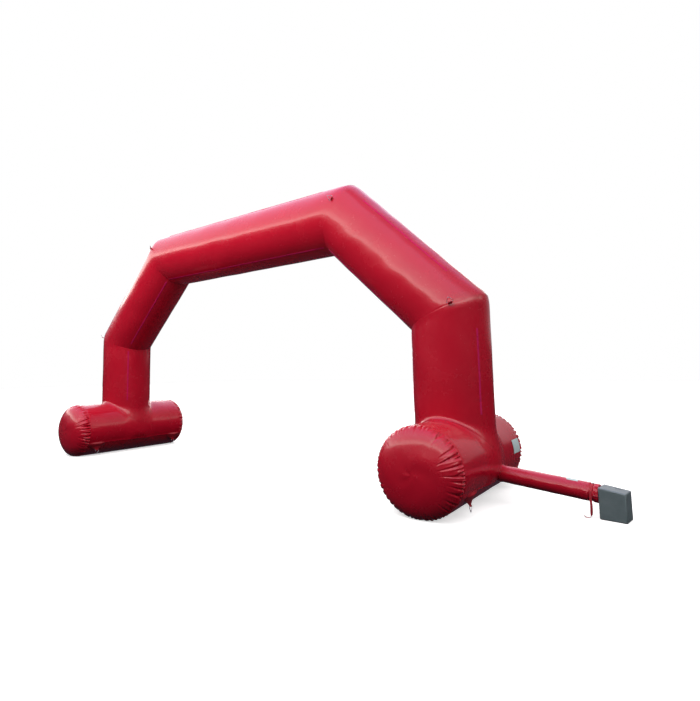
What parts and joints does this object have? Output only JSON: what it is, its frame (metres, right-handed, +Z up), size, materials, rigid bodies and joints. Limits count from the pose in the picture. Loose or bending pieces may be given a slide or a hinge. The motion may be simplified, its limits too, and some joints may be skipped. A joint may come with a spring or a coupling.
{
  "type": "inflatable event arch with blower",
  "caption": "Red inflatable event arch: straight tubes joined at mitred seams, standing on bolster feet with gathered ends, with tie-down rings and a sleeve to a small blower.",
  "frame": {"origin": "middle of the ground that the arch and its blower cover", "axes": "+X along the span towards the blower, +Y away from the front, +Z up"},
  "size_m": [9.8484, 2.7986, 4.4589],
  "materials": {
    "red_cloth": "coated cloth, glossy",
    "red_webbing": "woven webbing, satin",
    "magenta_tape": "hook tape, matte",
    "steel_wire": "plated steel wire",
    "grey_plastic": "moulded, fine grain",
    "blank_label": "blank printed-cloth label, satin"
  },
  "bodies": {
    "root": {"blower": "grey_plastic", "cap_left_back": "red_cloth", "cap_left_front": "red_cloth", "cap_right_back": "red_cloth", "cap_right_front": "red_cloth", "foot_left": "red_cloth", "foot_right": "red_cloth", "label_foot": "blank_label", "label_sleeve": "blank_label", "leg_left": "red_cloth", "leg_right": "red_cloth", "ring_foot_left_inner_back": "steel_wire", "ring_foot_left_inner_front": "steel_wire", "ring_foot_left_outer_back": "steel_wire", "ring_foot_left_outer_front": "steel_wire", "ring_foot_right_inner_back": "steel_wire", "ring_foot_right_inner_front": "steel_wire", "ring_foot_right_outer_back": "steel_wire", "ring_foot_right_outer_front": "steel_wire", "ring_knee_left": "steel_wire", "ring_knee_right": "steel_wire", "ring_shoulder_left": "steel_wire", "ring_shoulder_right": "steel_wire", "slant_left": "red_cloth", "slant_right": "red_cloth", "sleeve": "red_cloth", "strap": "red_webbing", "strap_buckle": "steel_wire", "tab_foot_left_inner_back": "red_webbing", "tab_foot_left_inner_front": "red_webbing", "tab_foot_left_outer_back": "red_webbing", "tab_foot_left_outer_front": "red_webbing", "tab_foot_right_inner_back": "red_webbing", "tab_foot_right_inner_front": "red_webbing", "tab_foot_right_outer_back": "red_webbing", "tab_foot_right_outer_front": "red_webbing", "tab_knee_left": "red_webbing", "tab_knee_right": "red_webbing", "tab_shoulder_left": "red_webbing", "tab_shoulder_right": "red_webbing", "tape_beam_inner": "magenta_tape", "tape_beam_outer": "magenta_tape", "tape_leg_inner_left": "magenta_tape", "tape_leg_inner_right": "magenta_tape", "tape_leg_outer_left": "magenta_tape", "tape_leg_outer_right": "magenta_tape", "tape_slant_inner_left": "magenta_tape", "tape_slant_inner_right": "magenta_tape", "tape_slant_outer_left": "magenta_tape", "tape_slant_outer_right": "magenta_tape", "top_beam": "red_cloth"}
  },
  "joints": []
}
